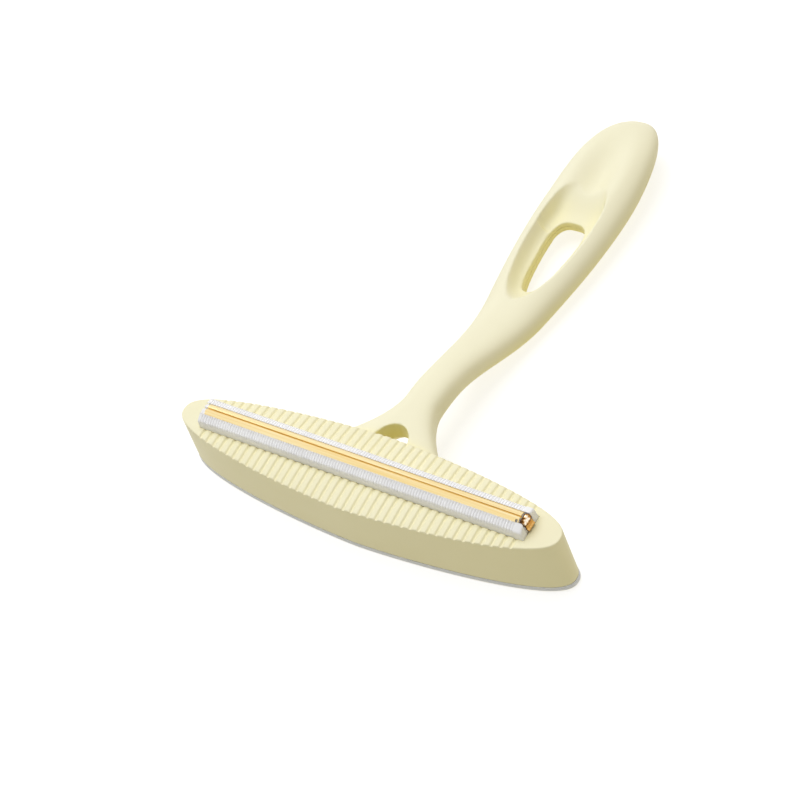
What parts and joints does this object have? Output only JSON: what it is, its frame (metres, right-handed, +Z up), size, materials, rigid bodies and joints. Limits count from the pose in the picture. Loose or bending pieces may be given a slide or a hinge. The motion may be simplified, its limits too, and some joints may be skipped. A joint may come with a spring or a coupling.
{
  "type": "lint remover",
  "caption": "Hand-held lint remover: boat-shaped head with a ribbed face and a raised brass blade insert, soft pad on its back, forked handle with thumb dish and window.",
  "frame": {"origin": "middle of the bounding box's bottom face, on the surface that the tool lies on", "axes": "+Y runs from the head to the handle's end, +X runs along the head, +Z points up, out of the ribbed face"},
  "size_m": [0.1284, 0.1728, 0.0244],
  "materials": {
    "head_cream": "satin moulded plastic, fine spark-eroded grain",
    "plate_cream": "plain moulded plastic",
    "handle_cream": "satin moulded plastic, smooth",
    "insert_white": "satin white plastic",
    "blade_brass": "bright rolled strip",
    "screw_steel": "zinc plated",
    "backing_foam": "thin closed-cell foam",
    "pad_fabric": "short one-way pile"
  },
  "bodies": {
    "root": {"head_shell": "head_cream", "back_plate": "plate_cream", "pad_backing": "backing_foam", "lint_pad": "pad_fabric", "back_plate_screw_1": "screw_steel", "back_plate_screw_2": "screw_steel", "back_plate_screw_3": "screw_steel", "back_plate_screw_4": "screw_steel", "leg_screw_left": "screw_steel", "leg_screw_right": "screw_steel", "handle_upper": "handle_cream", "handle_lower": "handle_cream", "insert_carrier": "insert_white", "front_comb": "insert_white", "rear_comb": "insert_white", "front_blade": "blade_brass", "rear_blade": "blade_brass", "end_clip": "blade_brass"}
  },
  "joints": []
}
